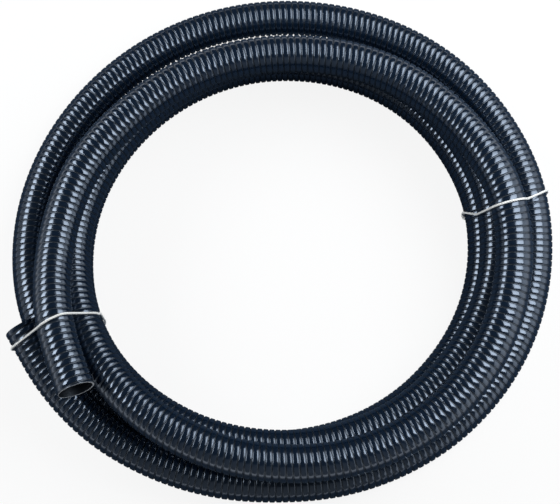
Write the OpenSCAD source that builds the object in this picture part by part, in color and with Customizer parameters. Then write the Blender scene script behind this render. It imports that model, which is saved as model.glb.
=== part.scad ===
// Spiral-ribbed vacuum hose for a pool, coiled by hand in four turns and tied in two places.
// The hose is one tube from end to end, and both ends are plain cuts. Two turns lie side by
// side on the ground, the third lies on the inner one and the fourth on the third.
// Millimetres, +Z up, origin on the ground below the middle of the coil.

/* [Hose] */
// Bore of the hose
hose_bore = 38; // [32:0.5:46]
// Wall at the bottom of the groove between two ribs
hose_wall = 1.45; // [1:0.05:2.5]
// Height of a rib above the groove
rib_height = 1.8; // [1.2:0.1:2.2]
// Distance from one rib to the next
rib_pitch = 7.6; // [6.8:0.1:10]
// Radius of a rib's rounded crest
crest_r = 3.2; // [2.6:0.1:3.3]

/* [Coil] */
// Distance from the coil's axis to the middle of the hose, on its widest turn
coil_r = 310; // [280:1:360]
// Room left between two strands that lie against each other
strand_gap = 0.5; // [0.5:0.1:2]
// Depth of the flat where the lowest strands rest on the ground
foot_depth = 4.45; // [2:0.05:4.8]
// Ribs along the coiled part, each as long as about five real ones
coil_ribs = 172; // [120:1:175]
// Ribs on the straight lower end
lower_end_ribs = 6; // [6:1:8]
// Ribs on the straight upper end
upper_end_ribs = 6; // [6:1:8]

/* [Ties] */
// Thickness of the string
tie_d = 2.6; // [2:0.1:4]
// Room left between the string and the ribs under it
tie_gap = 0.35; // [0.2:0.05:1]
// Diameter of a knot
knot_d = 6; // [5:0.5:10]
// Length of the string's loose tail at the left knot
tail_length = 9; // [6:1:40]

/* [Hidden] */

// Sides of the hose's and the string's drawn section
SIDES = 8;
// Smoothness of the round ends and knots
END_FN = 72;
KNOT_FN = 24;
// Angle along the hose between two points of its measured length, in degrees
LAY_ANGLE = 1;
// Angle along the hose between two points where the gap to the next strand is measured
GAP_ANGLE = 3;

bore_r = hose_bore / 2;
groove_r = bore_r + hose_wall;
hose_r = groove_r + rib_height;
strand_pitch = 2 * hose_r + strand_gap;
ground_z = hose_r - foot_depth;
lower_end_length = lower_end_ribs * rib_pitch;
upper_end_length = upper_end_ribs * rib_pitch;
hose_colour = [0.10, 0.16, 0.23];
string_colour = [0.93, 0.93, 0.90];

// The coil's lay, by hand. Each row holds an angle along the hose, in degrees from the
// coil's left side, then how far the strand sits out from coil_r and up from the ground,
// both in strand pitches.
LAY = [
    // first turn: starts on top of the second, then lies outermost on the ground
    [18.7, 0.18, 0.99], [30, 0.10, 0.95], [45, -0.07, 0.84], [60, -0.28, 0.70],
    [75, -0.45, 0.55], [90, -0.56, 0.39], [105, -0.53, 0.22], [120, -0.45, 0.05],
    [135, -0.32, 0], [180, 0.06, 0], [225, 0.22, 0], [270, 0.04, 0], [315, -0.06, 0],
    // second turn: crosses to the inside on the ground
    [360, -0.06, 0], [380, -0.20, 0], [405, -0.66, 0], [427, -1.18, 0], [450, -1.51, 0],
    [495, -1.50, 0], [540, -1.27, 0], [585, -1.19, 0], [630, -1.36, 0], [675, -1.43, 0],
    // third turn: climbs onto the second
    [720, -1.30, 0], [735, -1.27, 0.12], [750, -1.27, 0.45], [765, -1.30, 0.82],
    [780, -1.34, 1], [810, -1.38, 1.03], [855, -1.25, 1.01], [900, -1.06, 1],
    [945, -1.13, 1], [990, -1.51, 1], [1035, -1.64, 1],
    // fourth turn: climbs onto the third, and its end swings out over the first
    [1080, -1.37, 1.03], [1100, -1.26, 1.25], [1112, -1.19, 1.54], [1125, -1.10, 1.84],
    [1140, -1.03, 1.96], [1170, -0.89, 1.93], [1215, -0.65, 1.88], [1260, -0.80, 1.98],
    [1282, -1.08, 2.03], [1305, -1.40, 2.01], [1350, -1.85, 1.97], [1395, -1.77, 2],
    [1425, -1.34, 2.02], [1440, -1.11, 2.04], [1455, -0.82, 2.12], [1467, -0.57, 2.26],
    [1480, -0.31, 2.50]];

// Where a string runs round the strands, by hand. Each row holds the strand's angle along
// the hose and the side of it that the string lies on: 0 is outwards, 90 is up.
LEFT_TIE = [
    [382, -102], [382, -75], [382, -49], [382, -22], [22, -20], [22, 7], [22, 34],
    [1464.5, 36], [1464.2, 63], [1463.7, 91], [1463.1, 119], [1462.8, 146],
    [1104, 148], [1104, 163], [1103, 177], [743, 179], [743, 205], [742, 231], [742, 257]];
RIGHT_TIE = [
    [193, -90], [193, -61], [193, -32], [193, -3], [193, 25],
    [1267, 27], [1267, 55], [1267, 83], [1267, 111], [1267, 139], [1267, 168],
    [908, 170], [552, 172], [552, 197], [552, 222], [552, 246], [552, 270]];
// Widest step between two points on one strand, in degrees
TIE_ANGLE = 29;
// Places of the knots, and the way the left tail points
LEFT_KNOT = [742, 231];
RIGHT_KNOT = [552, 222];
TAIL_ANGLE = 250;

// The hose rises over each string: where, by how much, and over what angle
TIE_AT = [22, 192.5];
tie_lift = foot_depth + tie_d + tie_gap;
RISE_ANGLE = 14;
// Distance from the middle of a strand to the middle of the string on it
tie_r = (hose_r + tie_gap + tie_d / 2) / cos(TIE_ANGLE / 2);

function unit(v) = v / norm(v);

// Row of LAY that an angle falls in
function lay_row(a) = min(len([for (row = LAY) if (row[0] <= a) 1]), len(LAY) - 1) - 1;

// Slope of column c at row i, from the rows on both sides
function lay_slope(i, c) =
    let (before = LAY[max(i - 1, 0)], after = LAY[min(i + 1, len(LAY) - 1)])
    (after[c] - before[c]) / (after[0] - before[0]);

// Column c of LAY at an angle, on a smooth curve through its rows
function lay(a, c) =
    let (i = lay_row(a), step = LAY[i + 1][0] - LAY[i][0], t = (a - LAY[i][0]) / step)
    LAY[i][c] * (1 + t * t * (2 * t - 3)) + lay_slope(i, c) * step * t * (1 - t) * (1 - t)
    + LAY[i + 1][c] * t * t * (3 - 2 * t) - lay_slope(i + 1, c) * step * t * t * (1 - t);

// Rise over the strings at an angle
function rise(a) =
    tie_lift * sum([for (at = TIE_AT) exp(-pow(((a - at + 540) % 360 - 180) / RISE_ANGLE, 2))]);
function sum(list, i = 0) = i < len(list) ? list[i] + sum(list, i + 1) : 0;

// Middle of the hose at an angle along it
function middle(a) =
    let (r = coil_r + lay(a, 1) * strand_pitch)
    [-r * cos(a), -r * sin(a), ground_z + lay(a, 2) * strand_pitch + rise(a)];

// Way the hose runs at an angle along it
function heading(a) = unit(middle(a + LAY_ANGLE / 4) - middle(a - LAY_ANGLE / 4));

// Length of the hose up to each angle
lay_angles = [for (a = LAY[0][0]; a < LAY[len(LAY) - 1][0]; a = a + LAY_ANGLE) a];
lay_middles = [for (a = lay_angles) middle(a)];
lay_steps = [for (i = [1 : len(lay_middles) - 1]) norm(lay_middles[i] - lay_middles[i - 1]), 0];
lay_lengths = [for (i = 0, s = 0; i < len(lay_steps); s = s + lay_steps[i], i = i + 1) s];
angle_at = [for (i = [0 : len(lay_angles) - 1]) [lay_lengths[i], lay_angles[i]]];
route_length = lay_lengths[len(lay_lengths) - 1];

// The coiled part runs between the two straight ends
coil_from = lookup(lower_end_length, angle_at);
coil_to = lookup(route_length - upper_end_length, angle_at);
coil_length = route_length - lower_end_length - upper_end_length;

// Two rings to a rib: even rings lie in a groove, odd ones on a crest
ring_count = 2 * coil_ribs + 1;
ring_angles = [for (i = [0 : ring_count - 1])
    lookup(lower_end_length + coil_length * i / (ring_count - 1), angle_at)];
ring_middles = [for (a = ring_angles) middle(a)];
ring_headings = [for (a = ring_angles) heading(a)];

// Outward and upward directions square to a heading
function outward(way) = unit([way[1], -way[0], 0]);
function upward(way) = cross(outward(way), way);

// Point at radius r and a given side of a strand, no lower than a floor
function on_strand(centre, way, r, side, floor_z) =
    let (p = centre + r * (cos(side) * outward(way) + sin(side) * upward(way)))
    [p[0], p[1], max(p[2], floor_z)];

// One ring of a section round a strand, with a flat side down
function ring(centre, way, r, floor_z) =
    [for (j = [0 : SIDES - 1]) on_strand(centre, way, r, (j + 0.5) * 360 / SIDES, floor_z)];

outer_points = [for (i = [0 : ring_count - 1])
    each ring(ring_middles[i], ring_headings[i], i % 2 == 0 ? groove_r : hose_r, 0)];
bore_points = [for (i = [0 : 2 : ring_count - 1])
    each ring(ring_middles[i], ring_headings[i], bore_r, hose_wall)];

// Middle of the coil in plan, which goes to the origin
function low(points, c) = min([for (p = points) p[c]]);
function high(points, c) = max([for (p = points) p[c]]);
coil_middle = [
    (low(outer_points, 0) + high(outer_points, 0)) / 2,
    (low(outer_points, 1) + high(outer_points, 1)) / 2, 0];

// Two triangles of a four-cornered face
function split(a, b, c, d) = [[a, b, c], [a, c, d]];

// Faces of a tube of rings that starts at point number first
function tube_faces(first, rings, closed) =
    [for (i = [0 : rings - (closed ? 1 : 2)], j = [0 : SIDES - 1])
        let (here = first + i * SIDES, next = first + (i + 1) % rings * SIDES, k = (j + 1) % SIDES)
        each split(here + j, here + k, next + k, next + j)];
function turned(faces) = [for (f = faces) [f[2], f[1], f[0]]];

// Faces of the wall's cut between an outer ring and a bore ring
function cut_faces(outer, bore) =
    [for (j = [0 : SIDES - 1])
        let (k = (j + 1) % SIDES)
        each split(outer + j, bore + j, bore + k, outer + k)];

// Middle of any strand and its heading, also on the straight ends
function strand_way(a) = heading(min(max(a, coil_from), coil_to));
function strand_middle(a) =
    let (
        held = min(max(a, coil_from), coil_to),
        past = (a - held) * PI / 180 * norm([middle(held)[0], middle(held)[1]]))
    middle(held) + past * strand_way(a);

// Point where a string, or a knot of thickness d, lies on a strand
function contact(row, distance, d) =
    on_strand(strand_middle(row[0]), strand_way(row[0]), distance, row[1], d / 2);

// Least gap between two strands, over points along the hose at least a right angle apart
gap_angles = [for (a = LAY[0][0]; a <= LAY[len(LAY) - 1][0]; a = a + GAP_ANGLE) a];
gap_middles = [for (a = gap_angles) strand_middle(a)];
gap_last = len(gap_angles) - 1;
least_gap = -2 * hose_r
    + min([for (i = [0 : gap_last], j = [i + 90 / GAP_ANGLE : 1 : gap_last])
        norm(gap_middles[i] - gap_middles[j])]);
echo(least_gap = least_gap, hose_length = route_length);

// The four turns, ribbed and hollow from end to end
module hose_coil() {
    bore_start = len(outer_points);
    last_outer = bore_start - SIDES;
    last_bore = bore_start + len(bore_points) - SIDES;
    color(hose_colour)
        translate(-coil_middle)
            polyhedron(
                points = concat(outer_points, bore_points),
                faces = concat(
                    tube_faces(0, ring_count, false),
                    turned(tube_faces(bore_start, coil_ribs + 1, false)),
                    cut_faces(0, bore_start),
                    turned(cut_faces(last_outer, last_bore))));
}

// Straight end of the hose along +Z, cut off plain
module straight_end(ribs) {
    length = ribs * rib_pitch;
    rotate_extrude($fn = END_FN)
        difference() {
            union() {
                square([groove_r, length]);
                for (i = [0 : ribs - 1])
                    translate([hose_r - crest_r, (i + 0.5) * rib_pitch])
                        circle(r = crest_r, $fn = KNOT_FN);
            }
            square([bore_r, length]);
        }
}

// Stands what runs along +Z at a point, along a way
module along(point, way) {
    translate(point - coil_middle)
        rotate([0, acos(way[2]), atan2(way[1], way[0])])
            children();
}

module lower_end() {
    color(hose_colour)
        along(middle(coil_from), -heading(coil_from))
            straight_end(lower_end_ribs);
}

module upper_end() {
    color(hose_colour)
        along(middle(coil_to), heading(coil_to))
            straight_end(upper_end_ribs);
}

// Closed string round the strands, through its rows of contacts
module string_loop(rows) {
    count = len(rows);
    path = [for (row = rows) contact(row, tie_r, tie_d)];
    travel = strand_way(rows[0][0]);
    ways = [for (i = [0 : count - 1]) unit(path[(i + 1) % count] - path[(i + count - 1) % count])];
    rings = [for (i = [0 : count - 1])
        let (out = unit(cross(travel, ways[i])), across = cross(out, ways[i]))
        for (j = [0 : SIDES - 1])
            path[i] + tie_d / 2 * (cos(j * 360 / SIDES) * out + sin(j * 360 / SIDES) * across)];
    translate(-coil_middle)
        polyhedron(points = rings, faces = tube_faces(0, count, true));
}

// Knot outside the string at a contact
function knot_middle(row) = contact(row, hose_r + tie_gap + knot_d / 2, knot_d);

module knot(row) {
    translate(knot_middle(row) - coil_middle)
        sphere(d = knot_d, $fn = KNOT_FN);
}

module tie_left() {
    tip = on_strand(knot_middle(LEFT_KNOT), strand_way(LEFT_KNOT[0]), 1, TAIL_ANGLE, 0);
    color(string_colour) {
        union() {
            string_loop(LEFT_TIE);
            knot(LEFT_KNOT);
            along(knot_middle(LEFT_KNOT), unit(tip - knot_middle(LEFT_KNOT)))
                cylinder(d = tie_d, h = knot_d / 2 + tail_length, $fn = KNOT_FN);
        }
    }
}

module tie_right() {
    color(string_colour)
        union() {
            string_loop(RIGHT_TIE);
            knot(RIGHT_KNOT);
        }
}

hose_coil();
lower_end();
upper_end();
tie_left();
tie_right();
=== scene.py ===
"""Coiled vacuum hose with two string ties, dressed over its fixed CAD frame."""

import math

import bpy
import numpy as np
from bpy.props import (
    FloatProperty,
    FloatVectorProperty,
    IntProperty,
    PointerProperty,
)
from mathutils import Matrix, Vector


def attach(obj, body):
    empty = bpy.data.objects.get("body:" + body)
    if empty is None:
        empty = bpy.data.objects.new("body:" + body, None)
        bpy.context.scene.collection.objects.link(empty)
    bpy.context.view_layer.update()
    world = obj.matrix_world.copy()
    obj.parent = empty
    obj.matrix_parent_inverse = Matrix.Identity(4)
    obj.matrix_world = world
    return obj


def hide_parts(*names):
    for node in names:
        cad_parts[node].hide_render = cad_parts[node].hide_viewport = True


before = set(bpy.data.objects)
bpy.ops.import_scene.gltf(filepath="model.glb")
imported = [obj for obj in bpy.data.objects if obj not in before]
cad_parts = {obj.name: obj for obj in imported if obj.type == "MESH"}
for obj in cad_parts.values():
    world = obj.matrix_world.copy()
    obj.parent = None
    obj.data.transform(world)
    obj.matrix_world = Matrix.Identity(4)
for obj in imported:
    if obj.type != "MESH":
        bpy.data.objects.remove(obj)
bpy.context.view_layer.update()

bl_info = {
    "name": "Coiled vacuum hose",
    "version": (1, 0, 0),
    "blender": (4, 5, 0),
    "location": "View3D > Sidebar > Hose",
    "description": "Adds a coiled spiral-ribbed hose, its string ties and a studio",
    "category": "Add Mesh",
}

# The coil's lay, as in the CAD source: angle along the hose in degrees from the coil's left
# side, then out from the coil's radius and up from the ground in strand pitches.
LAY = np.array([
    # first turn: starts on top of the second, then lies outermost on the ground
    (18.7, 0.18, 0.99), (30, 0.10, 0.95), (45, -0.07, 0.84), (60, -0.28, 0.70),
    (75, -0.45, 0.55), (90, -0.56, 0.39), (105, -0.53, 0.22), (120, -0.45, 0.05),
    (135, -0.32, 0), (180, 0.06, 0), (225, 0.22, 0), (270, 0.04, 0), (315, -0.06, 0),
    # second turn: crosses to the inside on the ground
    (360, -0.06, 0), (380, -0.20, 0), (405, -0.66, 0), (427, -1.18, 0), (450, -1.51, 0),
    (495, -1.50, 0), (540, -1.27, 0), (585, -1.19, 0), (630, -1.36, 0), (675, -1.43, 0),
    # third turn: climbs onto the second
    (720, -1.30, 0), (735, -1.27, 0.12), (750, -1.27, 0.45), (765, -1.30, 0.82),
    (780, -1.34, 1), (810, -1.38, 1.03), (855, -1.25, 1.01), (900, -1.06, 1),
    (945, -1.13, 1), (990, -1.51, 1), (1035, -1.64, 1),
    # fourth turn: climbs onto the third, and its end swings out over the first
    (1080, -1.37, 1.03), (1100, -1.26, 1.25), (1112, -1.19, 1.54), (1125, -1.10, 1.84),
    (1140, -1.03, 1.96), (1170, -0.89, 1.93), (1215, -0.65, 1.88), (1260, -0.80, 1.98),
    (1282, -1.08, 2.03), (1305, -1.40, 2.01), (1350, -1.85, 1.97), (1395, -1.77, 2),
    (1425, -1.34, 2.02), (1440, -1.11, 2.04), (1455, -0.82, 2.12), (1467, -0.57, 2.26),
    (1480, -0.31, 2.50),
])

# Sizes of the coil in metres, as in the CAD source: out to its widest turn, the hose over its
# ribs, from one strand to the next, and up to the middle of the lowest strands
COIL_RADIUS = 0.310
HOSE_RADIUS = 0.02225
STRAND_PITCH = 0.045
GROUND_HEIGHT = 0.0178
# Angles at which the coil meets its straight ends, and the length of each end
COIL_FROM = 26.9239
COIL_TO = 1470.9218
END_LENGTH = 0.0456
# Middle of the coil in plan, which goes to the origin
COIL_MIDDLE = np.array([0.00279287, 0.0133822, 0.0])
# The hose rises over each string: at which angles, by how much, and over what angle
TIE_AT = (22.0, 192.5)
TIE_LIFT = 0.0074
RISE_ANGLE = 14.0
# Angle between two points on the hose's line, and how many points each straight end has
LINE_ANGLE = 0.25
END_POINTS = 15

# Where a string runs round the strands: angle along the hose, and the side of the strand
# that the string lies on, where 0 is outwards and 90 is up
LEFT_TIE = [
    (382, -102), (382, -22), (22, -20), (22, 34),
    (1464.5, 36), (1464.2, 63), (1463.7, 91), (1463.1, 119), (1462.8, 146),
    (1104, 148), (1104, 163), (1103, 177), (743, 179), (743, 205), (742, 231), (742, 257),
]
RIGHT_TIE = [
    (193, -90), (193, 25), (1267, 27), (1267, 168), (908, 170), (552, 172), (552, 270),
]
LEFT_KNOT = (742, 231)
RIGHT_KNOT = (552, 222)
# Side of its strand that the left string's tail points to
TAIL_ANGLE = 250
# Room between a string and the ribs under it, and its widest step round a strand in degrees
STRING_GAP = 0.00015
ARC_STEP = 6
# Thickness of three touching strands in thicknesses of one, and how much fatter each one is
# drawn so that they press together
THREE_STRANDS = 2.155
STRAND_PRESS = 1.06
# Points of a string's line in each turn of its twist
TWIST_POINTS = 10
# A knot's size, and its middle's height above the hose, in thicknesses of the string
KNOT_SIZE = 2.2
KNOT_HEIGHT = 1.3
# Points on a knot and on its tail, and what is left off each end of the knot's figure, in
# radians
KNOT_POINTS = 90
TAIL_POINTS = 23
KNOT_OPENING = 0.25
# How far a tail sags as a share of its length
TAIL_SAG = 0.10
# How far a knot's strands spread at their last end, and over which share of their length
FRAY = 1.6
FRAYED_SHARE = 0.1

# One rib, groove to groove: place along its pitch, depth below the crest as a share of the
# rib's height, and how far its surface faces back along the hose, in degrees. The crest is a
# broad band, barely domed, and the groove a V with rounded shoulders.
RIB_PROFILE = [
    (0.0, 1.0, 0.0), (0.09, 0.5, 44.0), (0.20, 0.0, 11.0), (0.80, 0.0, -11.0), (0.91, 0.5, -44.0),
]
# Sides of the hose's section, and rings along its bore
SIDES = 20
BORE_RINGS = 202
# How much wider the bore is at the sawn rims, and how far in its slope ends
CHAMFER = 0.0013
CHAMFER_DEPTH = 2 * CHAMFER
# A corner of the skin nearer to a cut than this stands on it
ON_THE_CUT = 1e-5

# The camera's film and lens in millimetres, and the height that it aims at
FILM_WIDTH = 36
LENS = 99.36
AIM_HEIGHT = 0.022

# The paper floor: its side, how far from the middle it starts and ends turning to white, and
# how much of it is white before that to the camera and in reflections
FLOOR_SIDE = 40
WHITE_STARTS = 0.45
WHITE_ENDS = 1.2
SEEN_WHITE = 0.88
MIRRORED_WHITE = 0.0

# Lamps: name, place, what it faces, width, length and brightness as a share of the lamp
# level. The soft boxes draw the rows of highlights, and the dim boards the faint light in
# the grooves and on the sides.
LAMPS = (
    ("soft_box_left", (-1.38, 0.62, 1.10), (-0.45, 0.62, 0), 0.66, 1.8, 1.0),
    ("soft_box_right", (0.93, 0.62, 1.20), (0.40, 0.62, 0), 0.98, 1.9, 0.82),
    ("dim_board_left", (-1.60, -0.40, 0.35), (-0.30, -0.40, 0.05), 0.60, 2.6, 0.06),
    ("dim_board_right", (1.50, -0.30, 0.48), (0.30, -0.30, 0.05), 0.80, 3.0, 0.18),
    ("dim_board_front", (0, -1.30, 0.70), (0, -0.10, 0.05), 1.40, 2.4, 0.024),
)
LAMP_SPREAD = math.radians(130)
LAMP_COLOUR = (0.95, 0.98, 1.0)
ROOM_COLOUR = (0.75, 0.87, 1.0, 1.0)


def linear(code):
    """Linear colour of an sRGB hex value."""
    parts = [int(code[i : i + 2], 16) / 255 for i in (0, 2, 4)]
    return [p / 12.92 if p <= 0.04045 else ((p + 0.055) / 1.055) ** 2.4 for p in parts]


class HoseSettings(bpy.types.PropertyGroup):
    """Sizes and colours of the hose"""

    bore: FloatProperty(
        name="Bore", description="Inner diameter of the hose", default=0.038, unit="LENGTH"
    )
    rib_height: FloatProperty(
        name="Rib height",
        description="Height of the spiral rib above its groove",
        default=0.0018,
        unit="LENGTH",
    )
    rib_pitch: FloatProperty(
        name="Rib pitch",
        description="Distance from one turn of the rib to the next",
        default=0.0076,
        unit="LENGTH",
    )
    colour: FloatVectorProperty(
        name="Colour",
        description="Navy of the plastic on the crest of the rib",
        subtype="COLOR",
        default=linear("0c1a2b"),
    )
    # Painted shade: a near-black navy that darkens the groove
    groove_painted_shade: FloatVectorProperty(
        name="Groove colour",
        description="Darker navy down in the groove",
        subtype="COLOR",
        default=linear("030609"),
    )


class TieSettings(bpy.types.PropertyGroup):
    """Sizes and colour of the strings"""

    thickness: FloatProperty(
        name="Thickness", description="Diameter of the string", default=0.0029, unit="LENGTH"
    )
    twist_length: FloatProperty(
        name="Twist length",
        description="Length of string in which a strand goes round once",
        default=0.009,
        unit="LENGTH",
    )
    tail_length: FloatProperty(
        name="Tail length",
        description="Loose end left at the left knot",
        default=0.009,
        unit="LENGTH",
    )
    colour: FloatVectorProperty(
        name="Colour",
        description="White of the string",
        subtype="COLOR",
        default=linear("fafaf7"),
    )


class StudioSettings(bpy.types.PropertyGroup):
    """Camera, floor and light"""

    distance: FloatProperty(
        name="Camera distance",
        description="From the camera to the coil",
        default=1.9,
        unit="LENGTH",
    )
    elevation: FloatProperty(
        name="Camera elevation",
        description="Height of the camera above the horizon",
        default=math.radians(75),
        subtype="ANGLE",
    )
    floor_colour: FloatVectorProperty(
        name="Floor colour",
        description="White of the paper sweep",
        subtype="COLOR",
        default=linear("f2f2f2"),
    )
    bounce_colour: FloatVectorProperty(
        name="Bounce colour",
        description="Cool grey that the paper near the coil throws back on it",
        subtype="COLOR",
        default=linear("4a5665"),
    )
    lamp_level: FloatProperty(
        name="Lamp level", description="Brightness of the left soft box", default=3.7
    )
    fill_level: FloatProperty(
        name="Fill level", description="Brightness of the room", default=0.04
    )


# ---------------------------------------------------------------- route of the hose


def lay(angles):
    """How far out and up the strand is at each angle, on a smooth curve through LAY."""
    x = LAY[:, 0]
    row = np.clip(np.searchsorted(x, angles, side="right") - 1, 0, len(x) - 2)
    step = x[row + 1] - x[row]
    t = (angles - x[row]) / step
    found = []
    for column in (1, 2):
        y = LAY[:, column]
        slope = np.empty(len(x))
        slope[1:-1] = (y[2:] - y[:-2]) / (x[2:] - x[:-2])
        slope[0] = (y[1] - y[0]) / (x[1] - x[0])
        slope[-1] = (y[-1] - y[-2]) / (x[-1] - x[-2])
        found.append(
            y[row] * (1 + t * t * (2 * t - 3))
            + slope[row] * step * t * (1 - t) ** 2
            + y[row + 1] * t * t * (3 - 2 * t)
            - slope[row + 1] * step * t * t * (1 - t)
        )
    return found


def middle(angles):
    """Middle of the hose at each angle along its coiled part."""
    angles = np.atleast_1d(np.asarray(angles, float))
    out, up = lay(angles)
    rise = sum(
        TIE_LIFT * np.exp(-((((angles - at + 540) % 360 - 180) / RISE_ANGLE) ** 2))
        for at in TIE_AT
    )
    radius = COIL_RADIUS + out * STRAND_PITCH
    turn = np.radians(angles)
    height = GROUND_HEIGHT + up * STRAND_PITCH + rise
    points = np.stack([-radius * np.cos(turn), -radius * np.sin(turn), height], 1)
    return points - COIL_MIDDLE


def unit(vectors):
    """The same ways, each of length 1."""
    return vectors / np.linalg.norm(vectors, axis=-1, keepdims=True)


def heading(angles):
    """Way the hose runs at each angle, held on the straight ends."""
    held = np.clip(np.atleast_1d(np.asarray(angles, float)), COIL_FROM, COIL_TO)
    return unit(middle(held + LINE_ANGLE) - middle(held - LINE_ANGLE))


def strand(angle):
    """Middle of the hose at one angle, also on the straight ends, and its heading."""
    held = min(max(angle, COIL_FROM), COIL_TO)
    point, way = middle(held)[0], heading(held)[0]
    radius = np.hypot(*(point + COIL_MIDDLE)[:2])
    return point + math.radians(angle - held) * radius * way, way


def hose_line():
    """Points along the middle of the whole hose, close together."""
    coil = middle(np.arange(COIL_FROM, COIL_TO, LINE_ANGLE))
    start = coil[0] - END_LENGTH * heading(COIL_FROM)[0]
    last = middle(COIL_TO)[0]
    end = last + END_LENGTH * heading(COIL_TO)[0]
    shares = np.linspace(0, 1, END_POINTS + 1)[:-1, None]
    return np.concatenate([
        start + shares * (coil[0] - start),
        coil,
        last + shares * (end - last),
        end[None],
    ])


def lengths(line):
    """Length along a line up to each of its points."""
    return np.concatenate([[0], np.cumsum(np.linalg.norm(np.diff(line, axis=0), axis=1))])


def at_lengths(line, wanted):
    """Points at the wanted lengths along a line, and the line's ways there."""
    run = lengths(line)
    ways = unit(np.gradient(line, run, axis=0))
    points = np.stack([np.interp(wanted, run, line[:, c]) for c in range(3)], 1)
    return points, unit(np.stack([np.interp(wanted, run, ways[:, c]) for c in range(3)], 1))


def across(ways):
    """Directions outwards and upwards, square to each way."""
    out = unit(np.stack([ways[:, 1], -ways[:, 0], 0 * ways[:, 0]], 1))
    return out, np.cross(out, ways)


# ---------------------------------------------------------------- shared tools


def add_node(tree, kind, settings=None, **inputs):
    """Adds a node with its settings. Each further argument is for the input of that name, or
    of that number after an underscore: a value, or another node's output to link to it."""
    node = tree.nodes.new(kind)
    for name, value in (settings or {}).items():
        setattr(node, name, value)
    for name, value in inputs.items():
        socket = node.inputs[int(name[1:]) if name[0] == "_" else name.replace("_", " ")]
        if isinstance(value, bpy.types.NodeSocket):
            tree.links.new(value, socket)
        else:
            socket.default_value = value
    return node


def new_material(name):
    """An empty node material and its tree."""
    material = bpy.data.materials.new(name)
    material.use_nodes = True
    material.node_tree.nodes.clear()
    return material, material.node_tree


def select_only(piece):
    """Selects one piece and nothing else, and makes it the active one."""
    bpy.ops.object.select_all(action="DESELECT")
    piece.select_set(True)
    bpy.context.view_layer.objects.active = piece


# ---------------------------------------------------------------- materials


def flexible_pvc(settings):
    """Plasticised PVC, extruded as a strip and wound hot: a wet-looking skin that mirrors
    the lamps in sharp blocks, nearly black where it mirrors nothing, with a faint ripple
    from the die and a duller groove where the strip is welded to itself. The groove is
    also painted darker, as painted shade."""
    material, tree = new_material("extruded_flexible_pvc_navy")
    place = add_node(tree, "ShaderNodeTexCoord").outputs["Object"]
    crest = add_node(tree, "ShaderNodeAttribute", {"attribute_name": "crest"}).outputs["Fac"]
    # Batches of strip differ in tone over about 90 mm
    tone = add_node(tree, "ShaderNodeTexNoise", Vector=place, Scale=11.0, Detail=2.0)
    dark = add_node(
        tree, "ShaderNodeMix", {"data_type": "RGBA"},
        _0=tone.outputs["Fac"],
        _6=(*settings.colour, 1.0),
        _7=(*[c * 0.72 for c in settings.colour], 1.0),
    )
    # Painted shade: down in the groove the colour turns to the near-black groove navy
    depth = add_node(
        tree, "ShaderNodeMapRange", Value=crest,
        From_Min=0.3, From_Max=1.0, To_Min=0.0, To_Max=1.0,
    )
    colour = add_node(
        tree, "ShaderNodeMix", {"data_type": "RGBA"},
        _0=depth.outputs["Result"],
        _6=(*settings.groove_painted_shade, 1.0),
        _7=dark.outputs[2],
    )
    # Handling marks about 7 mm across, and the die's ripple about 1.4 mm apart
    marks = add_node(tree, "ShaderNodeTexNoise", Vector=place, Scale=140.0, Detail=4.0)
    gloss = add_node(
        tree, "ShaderNodeMapRange", Value=marks.outputs["Fac"],
        From_Min=0.3, From_Max=0.8, To_Min=0.12, To_Max=0.22,
    )
    dull = add_node(
        tree, "ShaderNodeMapRange", Value=crest,
        From_Min=0.0, From_Max=0.9, To_Min=0.3, To_Max=0.0,
    )
    roughness = add_node(
        tree, "ShaderNodeMath", {"operation": "ADD"},
        _0=gloss.outputs["Result"], _1=dull.outputs["Result"],
    )
    ripple = add_node(tree, "ShaderNodeTexNoise", Vector=place, Scale=700.0, Detail=2.0)
    bump = add_node(
        tree, "ShaderNodeBump", Strength=0.25, Distance=0.00006,
        Height=ripple.outputs["Fac"],
    )
    shader = add_node(
        tree, "ShaderNodeBsdfPrincipled",
        Base_Color=colour.outputs[2],
        Roughness=roughness.outputs["Value"],
        Normal=bump.outputs["Normal"],
        IOR=1.61,
        Specular_IOR_Level=1.0,
        Specular_Tint=(0.70, 0.82, 1.0, 1.0),
    )
    add_node(tree, "ShaderNodeOutputMaterial", Surface=shader.outputs["BSDF"])
    return material


def painted_rim_highlight():
    """The same PVC where a saw has cut it, matt and scratched, painted near white: a
    painted highlight that shows the rim as a thin light line."""
    material, tree = new_material("sawn_pvc_rim_painted_highlight")
    place = add_node(tree, "ShaderNodeTexCoord").outputs["Object"]
    # The saw's scratches are finer, and are drawn half a millimetre apart so that they show
    scratches = add_node(tree, "ShaderNodeTexNoise", Vector=place, Scale=2000.0, Detail=2.0)
    # Both near-white colours are a painted highlight on the dark PVC's rim; the scratches only
    # vary it
    colour = add_node(
        tree, "ShaderNodeMix", {"data_type": "RGBA"},
        _0=scratches.outputs["Fac"],
        _6=(*linear("dfe3e8"), 1.0),
        _7=(*linear("f4f5f7"), 1.0),
    )
    shader = add_node(
        tree, "ShaderNodeBsdfPrincipled",
        Base_Color=colour.outputs[2],
        Roughness=0.55,
        IOR=1.53,
    )
    add_node(tree, "ShaderNodeOutputMaterial", Surface=shader.outputs["BSDF"])
    return material


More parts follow.
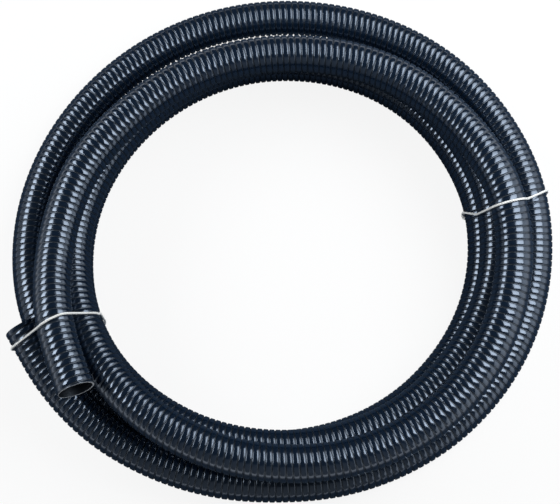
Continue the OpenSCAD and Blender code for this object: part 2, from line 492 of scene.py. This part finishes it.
def twisted_polyester(settings):
    """Spun polyester string, three strands laid together: matt and bright, with soft light
    on its fuzz and fine streaks along its fibres."""
    material, tree = new_material("twisted_polyester_white")
    place = add_node(tree, "ShaderNodeTexCoord").outputs["Object"]
    # The fibres are finer, and are drawn a third of a millimetre apart so that they show
    fibres = add_node(tree, "ShaderNodeTexNoise", Vector=place, Scale=3000.0, Detail=3.0)
    colour = add_node(
        tree, "ShaderNodeMix", {"data_type": "RGBA"},
        _0=fibres.outputs["Fac"],
        _6=(*settings.colour, 1.0),
        _7=(*[c * 0.96 for c in settings.colour], 1.0),
    )
    bump = add_node(
        tree, "ShaderNodeBump", Strength=0.3, Distance=0.0001,
        Height=fibres.outputs["Fac"],
    )
    shader = add_node(
        tree, "ShaderNodeBsdfPrincipled",
        Base_Color=colour.outputs[2],
        Roughness=0.72,
        Normal=bump.outputs["Normal"],
        IOR=1.5,
        Sheen_Weight=0.25,
        Sheen_Roughness=0.5,
    )
    add_node(tree, "ShaderNodeOutputMaterial", Surface=shader.outputs["BSDF"])
    return material


def paper_sweep(settings):
    """Matt white paper. To the camera most of it is pure white near the coil, where the rest
    takes the soft shadow, and all of it further out. The hose mirrors it as cool grey close
    by and as white far off, and it throws cool grey light back on the hose."""
    material, tree = new_material("matt_paper_white")
    place = add_node(tree, "ShaderNodeTexCoord").outputs["Object"]
    away = add_node(tree, "ShaderNodeVectorMath", {"operation": "LENGTH"}, _0=place)
    rays = add_node(tree, "ShaderNodeLightPath")
    mirrored = add_node(
        tree, "ShaderNodeMath", {"operation": "MAXIMUM"},
        _0=rays.outputs["Is Glossy Ray"], _1=rays.outputs["Is Transmission Ray"],
    )
    shares = []
    for seen, near in (
        (rays.outputs["Is Camera Ray"], SEEN_WHITE),
        (mirrored.outputs["Value"], MIRRORED_WHITE),
    ):
        share = add_node(
            tree, "ShaderNodeMapRange", {"interpolation_type": "SMOOTHSTEP"},
            Value=away.outputs["Value"],
            From_Min=WHITE_STARTS, From_Max=WHITE_ENDS, To_Min=near, To_Max=1.0,
        )
        shares.append(add_node(
            tree, "ShaderNodeMath", {"operation": "MULTIPLY"},
            _0=seen, _1=share.outputs["Result"],
        ))
    amount = add_node(
        tree, "ShaderNodeMath", {"operation": "MAXIMUM"},
        _0=shares[0].outputs["Value"], _1=shares[1].outputs["Value"],
    )
    paper = add_node(
        tree, "ShaderNodeMix", {"data_type": "RGBA"},
        _0=rays.outputs["Is Camera Ray"],
        _6=(*settings.bounce_colour, 1.0),
        _7=(*settings.floor_colour, 1.0),
    )
    lit = add_node(tree, "ShaderNodeBsdfDiffuse", Color=paper.outputs[2])
    white = add_node(tree, "ShaderNodeEmission", Color=(1.0, 1.0, 1.0, 1.0), Strength=1.0)
    surface = add_node(
        tree, "ShaderNodeMixShader",
        _0=amount.outputs["Value"], _1=lit.outputs["BSDF"], _2=white.outputs["Emission"],
    )
    add_node(tree, "ShaderNodeOutputMaterial", Surface=surface.outputs["Shader"])
    return material


# ---------------------------------------------------------------- hose


def rib_corners(ribs, total):
    """Corners of the ribbed skin: for each its run along the hose, its side, its depth below
    the crest and how far it faces back. The table finds a corner by its ring and side, and
    puts the rings past a cut end on the cut. A turn of the rib starts one pitch further on,
    so its rings are sheared."""
    pitch = total / ribs
    share = len(RIB_PROFILE)
    at = np.array([p[0] for p in RIB_PROFILE] + [1.0])
    deep = np.array([p[1] for p in RIB_PROFILE] + [RIB_PROFILE[0][1]])
    corners, table = [], {}
    for j in range(SIDES):
        for end, run in (("start", 0.0), ("end", total)):
            table[end, j] = len(corners)
            depth = float(np.interp((run / pitch + j / SIDES) % 1, at, deep))
            corners.append((run, j, depth, 0.0))
        for m in range(share * (ribs + 1) + 1):
            run = (m // share + at[m % share] - j / SIDES) * pitch
            if ON_THE_CUT < run < total - ON_THE_CUT:
                table[m, j] = len(corners)
                corners.append((run, j, deep[m % share], RIB_PROFILE[m % share][2]))
            else:
                table[m, j] = table["start" if run < total / 2 else "end", j]
    runs, sides, depths, leans = zip(*corners)
    return runs, sides, np.array(depths), np.array(leans), table


def rib_faces(ribs, table):
    """Faces of the ribbed skin. Past the last side, a ring goes on as the one a pitch back."""
    share = len(RIB_PROFILE)
    faces = []
    for m in range(share * (ribs + 1)):
        for j in range(SIDES):
            if j < SIDES - 1:
                a, b = table[m, j + 1], table[m + 1, j + 1]
            else:
                a = table[m - share, 0] if m >= share else table["start", 0]
                b = table[m + 1 - share, 0] if m + 1 >= share else table["start", 0]
            faces.append((table[m, j], table[m + 1, j], b, a))
    return faces


def bore_faces(first):
    """Faces of the bore, whose first ring starts at vertex number first."""
    faces = []
    for n in range(BORE_RINGS - 1):
        here = first + n * SIDES
        for j in range(SIDES):
            k = (j + 1) % SIDES
            faces.append((here + j, here + k, here + SIDES + k, here + SIDES + j))
    return faces


def cut_faces(first, table):
    """Faces of the two sawn cuts, between the skin and the bore's first and last ring."""
    last = first + (BORE_RINGS - 1) * SIDES
    start, end = [], []
    for j in range(SIDES):
        k = (j + 1) % SIDES
        start.append((table["start", j], table["start", k], first + k, first + j))
        end.append((table["end", k], table["end", j], last + j, last + k))
    return start + end


def without_repeats(faces):
    """The faces with doubled corners taken out, and without those left with under three."""
    clean = []
    for face in faces:
        loop = [v for i, v in enumerate(face) if v != face[i - 1]]
        if len(set(loop)) > 2:
            clean.append(loop)
    return clean


def hose_mesh(line, total, settings):
    """Vertices, faces, crest heights and normals of one hollow tube with a spiral rib, cut
    flat at both ends. The faces of the cuts come last."""
    ribs = round(total / settings.rib_pitch)
    runs, sides, depths, leans, table = rib_corners(ribs, total)
    skin = len(runs)
    bore_runs = np.linspace(0, total, BORE_RINGS - 2)
    bore_runs = np.sort(np.append(bore_runs, (CHAMFER_DEPTH, total - CHAMFER_DEPTH)))
    runs = np.concatenate([runs, np.repeat(bore_runs, SIDES)])
    sides = np.concatenate([sides, np.tile(np.arange(SIDES), BORE_RINGS)])
    radii = np.full(len(runs), settings.bore / 2)
    radii[:skin] = HOSE_RADIUS - settings.rib_height * depths
    radii[skin : skin + SIDES] += CHAMFER
    radii[-SIDES:] += CHAMFER

    points, ways = at_lengths(line, runs)
    out, up = across(ways)
    turn = (sides * 2 * np.pi / SIDES)[:, None]
    corners = points + radii[:, None] * (np.cos(turn) * out + np.sin(turn) * up)
    # A strand on the ground is pressed a little oval by the ones above it
    press = np.clip(points[:, 2] / HOSE_RADIUS, 0, 1)
    below = corners[:, 2] < points[:, 2]
    corners[below, 2] = (points[:, 2] + (corners[:, 2] - points[:, 2]) * press)[below]
    normals = unit(corners - points)
    lean = np.radians(leans)[:, None]
    normals[:skin] = np.cos(lean) * normals[:skin] - np.sin(lean) * ways[:skin]
    normals[skin:] *= -1

    faces = rib_faces(ribs, table) + bore_faces(skin) + cut_faces(skin, table)
    crest = np.zeros(len(runs))
    crest[:skin] = 1 - depths
    return corners, without_repeats(faces), crest, normals


class HOSE_OT_add_hose(bpy.types.Operator):
    """Add the hose along its route, one tube from cut end to cut end"""

    bl_idname = "hose.add_hose"
    bl_label = "Add hose"

    def execute(self, context):
        settings = context.scene.coiled_hose
        line = hose_line()
        total = lengths(line)[-1]
        corners, faces, crest, normals = hose_mesh(line, total, settings)
        mesh = bpy.data.meshes.new("hose")
        mesh.from_pydata(corners.tolist(), [], faces)
        mesh.update()
        mesh.attributes.new("crest", "FLOAT", "POINT").data.foreach_set("value", crest)
        hose = bpy.data.objects.new("hose", mesh)
        context.collection.objects.link(hose)
        select_only(hose)
        bpy.ops.object.shade_smooth()
        corner_vertices = np.empty(len(mesh.loops), int)
        mesh.loops.foreach_get("vertex_index", corner_vertices)
        corner_normals = normals[corner_vertices]
        mesh.materials.append(flexible_pvc(settings))
        # The cut faces take the near-white rim colour, a painted highlight
        mesh.materials.append(painted_rim_highlight())
        for face in mesh.polygons[-2 * SIDES:]:
            face.material_index = 1
            corner_normals[list(face.loop_indices)] = face.normal
        mesh.normals_split_custom_set(corner_normals.tolist())
        if len(mesh.polygons) != len(faces):
            raise RuntimeError("the hose has lost some of its faces")
        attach(hose, "root")
        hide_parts("hose_coil", "lower_end", "upper_end")
        return {"FINISHED"}


# ---------------------------------------------------------------- ties


def on_strand(angle, side, radius):
    """Point beside a strand, on one of its sides."""
    point, way = strand(angle)
    out, up = across(way[None])
    turn = math.radians(side)
    return point + radius * (math.cos(turn) * out[0] + math.sin(turn) * up[0])


def loop_line(rows, settings):
    """Closed line of a string: arcs round the strands, straight from one to the next."""
    radius = HOSE_RADIUS + settings.thickness / 2 + STRING_GAP
    points = []
    for i, (angle, side) in enumerate(rows):
        next_angle, next_side = rows[(i + 1) % len(rows)]
        count = 1
        if abs(next_angle - angle) < ARC_STEP:
            count = max(1, round((next_side - side) / ARC_STEP))
        for n in range(count):
            share = n / count
            points.append(on_strand(
                angle + (next_angle - angle) * share, side + (next_side - side) * share, radius
            ))
    points = np.array(points)
    points[:, 2] = np.maximum(points[:, 2], settings.thickness / 2)
    return points


def smooth_closed(points, step):
    """Evenly spaced points on a closed line, with its corners eased in two passes."""
    ring = np.concatenate([points, points[:1]])
    run = lengths(ring)
    count = round(run[-1] / step)
    wanted = np.arange(count) * run[-1] / count
    even = np.stack([np.interp(wanted, run, ring[:, c]) for c in range(3)], 1)
    for _ in range(2):
        even = (np.roll(even, 1, 0) + 2 * even + np.roll(even, -1, 0)) / 4
    return even


def side_ways(line, closed):
    """Two directions square to a line that turn as little as they can along it, and by how
    much they have turned where a closed line meets its start."""
    if closed:
        ways = unit(np.roll(line, -1, 0) - np.roll(line, 1, 0))
    else:
        ways = unit(np.gradient(line, axis=0))
    # Square to the first way, and to a way that no string starts in
    normals = [unit(np.cross(ways[0], [0.3, 0.2, 0.93]))]
    for way in ways[1:]:
        normals.append(unit(normals[-1] - way * np.dot(normals[-1], way)))
    normals = np.array(normals)
    spare = 0.0
    if closed:
        back = unit(normals[-1] - ways[0] * np.dot(normals[-1], ways[0]))
        spare = math.atan2(
            np.dot(np.cross(normals[0], back), ways[0]), np.dot(normals[0], back)
        )
    return normals, np.cross(ways, normals), spare


def twisted_string(name, line, closed, settings, fray=0.0):
    """Three strands laid round a line, each a bevelled curve, made one mesh. The strands
    spread by fray at the line's end."""
    first, second, spare = side_ways(line, closed)
    run = lengths(np.concatenate([line, line[:1]]) if closed else line)
    total = run[-1]
    turns = max(1, round(total / settings.twist_length))
    strand_radius = settings.thickness / 2 / THREE_STRANDS * STRAND_PRESS
    helix = settings.thickness / 2 - strand_radius
    share = run[: len(line)] / total
    frayed = np.clip((share - (1 - FRAYED_SHARE)) / FRAYED_SHARE, 0, 1)
    spread = 1 + fray * frayed**2
    curve = bpy.data.curves.new(name, "CURVE")
    curve.dimensions = "3D"
    curve.bevel_depth = strand_radius
    curve.bevel_resolution = 2
    curve.use_fill_caps = not closed
    for n in range(3):
        turn = 2 * np.pi * (turns * share + n / 3) - spare * share
        at = line + (helix * spread)[:, None] * (
            np.cos(turn)[:, None] * first + np.sin(turn)[:, None] * second
        )
        spline = curve.splines.new("POLY")
        spline.points.add(len(at) - 1)
        spline.points.foreach_set("co", np.c_[at, np.ones(len(at))].ravel())
        spline.use_cyclic_u = closed
    piece = bpy.data.objects.new(name, curve)
    bpy.context.collection.objects.link(piece)
    select_only(piece)
    bpy.ops.object.convert(target="MESH")
    return bpy.context.active_object


def overhand_knot(centre, size, toward, tail):
    """Line of a small overhand knot whose second end runs on as a tail. The knot's figure is
    six units wide before it gets its size."""
    t = np.linspace(KNOT_OPENING, 2 * np.pi - KNOT_OPENING, KNOT_POINTS)
    knot = np.stack([
        np.sin(t) + 2 * np.sin(2 * t),
        np.cos(t) - 2 * np.cos(2 * t),
        -np.sin(3 * t),
    ], 1) * size / 6
    line = centre + knot
    if tail > 0:
        steps = np.linspace(0, 1, TAIL_POINTS + 1)[1:, None]
        bow = np.array([0.0, 0.0, -TAIL_SAG * tail])
        run = line[-1] + steps * tail * toward + 4 * steps * (1 - steps) * bow
        line = np.concatenate([line, run])
    return line


class HOSE_OT_add_ties(bpy.types.Operator):
    """Add the two twisted strings, with their knots, that hold the coil"""

    bl_idname = "hose.add_ties"
    bl_label = "Add ties"

    def execute(self, context):
        settings = context.scene.string_ties
        finish = twisted_polyester(settings)
        step = settings.twist_length / TWIST_POINTS
        radius = HOSE_RADIUS + settings.thickness * KNOT_HEIGHT
        for node, rows, knot_at, tail in (
            ("tie_left", LEFT_TIE, LEFT_KNOT, settings.tail_length),
            ("tie_right", RIGHT_TIE, RIGHT_KNOT, 0.0),
        ):
            name = node + "_string"
            line = smooth_closed(loop_line(rows, settings), step)
            loop = twisted_string(name, line, True, settings)
            centre = on_strand(*knot_at, radius)
            toward = on_strand(knot_at[0], TAIL_ANGLE, 1.0) - strand(knot_at[0])[0]
            size = settings.thickness * KNOT_SIZE
            knot_line = overhand_knot(centre, size, unit(toward), tail)
            knot = twisted_string(name + "_knot", knot_line, False, settings, FRAY)
            bpy.ops.object.select_all(action="DESELECT")
            knot.select_set(True)
            loop.select_set(True)
            context.view_layer.objects.active = loop
            bpy.ops.object.join()
            bpy.ops.object.shade_smooth()
            loop.data.materials.clear()
            loop.data.materials.append(finish)
            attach(loop, "root")
            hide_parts(node)
        return {"FINISHED"}


# ---------------------------------------------------------------- studio


class HOSE_OT_set_camera(bpy.types.Operator):
    """Set the camera high over the near side of the coil"""

    bl_idname = "hose.set_camera"
    bl_label = "Set camera"

    def execute(self, context):
        settings = context.scene.hose_studio
        aim = Vector((0, 0, AIM_HEIGHT)) - Vector(COIL_MIDDLE)
        back = Vector((0, -math.cos(settings.elevation), math.sin(settings.elevation)))
        bpy.ops.object.camera_add(
            location=aim + back * settings.distance,
            rotation=(math.pi / 2 - settings.elevation, 0, 0),
        )
        camera = context.active_object
        camera.name = "camera"
        camera.data.sensor_width = FILM_WIDTH
        camera.data.lens = LENS
        context.scene.camera = camera
        return {"FINISHED"}


class HOSE_OT_add_studio(bpy.types.Operator):
    """Add the white paper floor, the soft boxes, the dim boards and the room's fill light"""

    bl_idname = "hose.add_studio"
    bl_label = "Add studio"

    def execute(self, context):
        settings = context.scene.hose_studio
        bpy.ops.object.select_all(action="DESELECT")
        bpy.ops.mesh.primitive_plane_add(size=FLOOR_SIDE, location=(0, 0, 0))
        floor = context.active_object
        floor.name = "floor"
        floor.data.materials.append(paper_sweep(settings))
        for name, place, target, width, length, share in LAMPS:
            aim = Vector(target) - Vector(place)
            bpy.ops.object.light_add(type="AREA", location=place)
            lamp = context.active_object
            lamp.name = name
            lamp.rotation_euler = aim.to_track_quat("-Z", "Y").to_euler()
            lamp.data.shape = "RECTANGLE"
            lamp.data.size = length
            lamp.data.size_y = width
            lamp.data.spread = LAMP_SPREAD
            lamp.data.color = LAMP_COLOUR
            # So that no lamp stands in a low view
            lamp.visible_camera = False
            lamp.data.energy = settings.lamp_level * share * math.pi * width * length
        world = bpy.data.worlds.new("room")
        world.use_nodes = True
        room = world.node_tree.nodes["Background"]
        room.inputs["Color"].default_value = ROOM_COLOUR
        room.inputs["Strength"].default_value = settings.fill_level
        context.scene.world = world
        context.scene.view_settings.view_transform = "Standard"
        return {"FINISHED"}


class HOSE_PT_panel(bpy.types.Panel):
    """Buttons for the pieces and the studio"""

    bl_idname = "HOSE_PT_panel"
    bl_label = "Coiled hose"
    bl_space_type = "VIEW_3D"
    bl_region_type = "UI"
    bl_category = "Hose"

    def draw(self, context):
        for settings in ("coiled_hose", "string_ties", "hose_studio"):
            group = getattr(context.scene, settings)
            box = self.layout.box()
            for name in group.__annotations__:
                box.prop(group, name)
        for operator in OPERATORS:
            self.layout.operator(operator.bl_idname)


OPERATORS = (HOSE_OT_set_camera, HOSE_OT_add_hose, HOSE_OT_add_ties, HOSE_OT_add_studio)
CLASSES = (HoseSettings, TieSettings, StudioSettings, *OPERATORS, HOSE_PT_panel)


def register():
    for kind in CLASSES:
        bpy.utils.register_class(kind)
    bpy.types.Scene.coiled_hose = PointerProperty(type=HoseSettings)
    bpy.types.Scene.string_ties = PointerProperty(type=TieSettings)
    bpy.types.Scene.hose_studio = PointerProperty(type=StudioSettings)


def unregister():
    del bpy.types.Scene.coiled_hose
    del bpy.types.Scene.string_ties
    del bpy.types.Scene.hose_studio
    for kind in reversed(CLASSES):
        bpy.utils.unregister_class(kind)


def main():
    register()
    bpy.ops.hose.set_camera()
    bpy.ops.hose.add_hose()
    bpy.ops.hose.add_ties()
    bpy.ops.hose.add_studio()


if __name__ == "__main__":
    main()
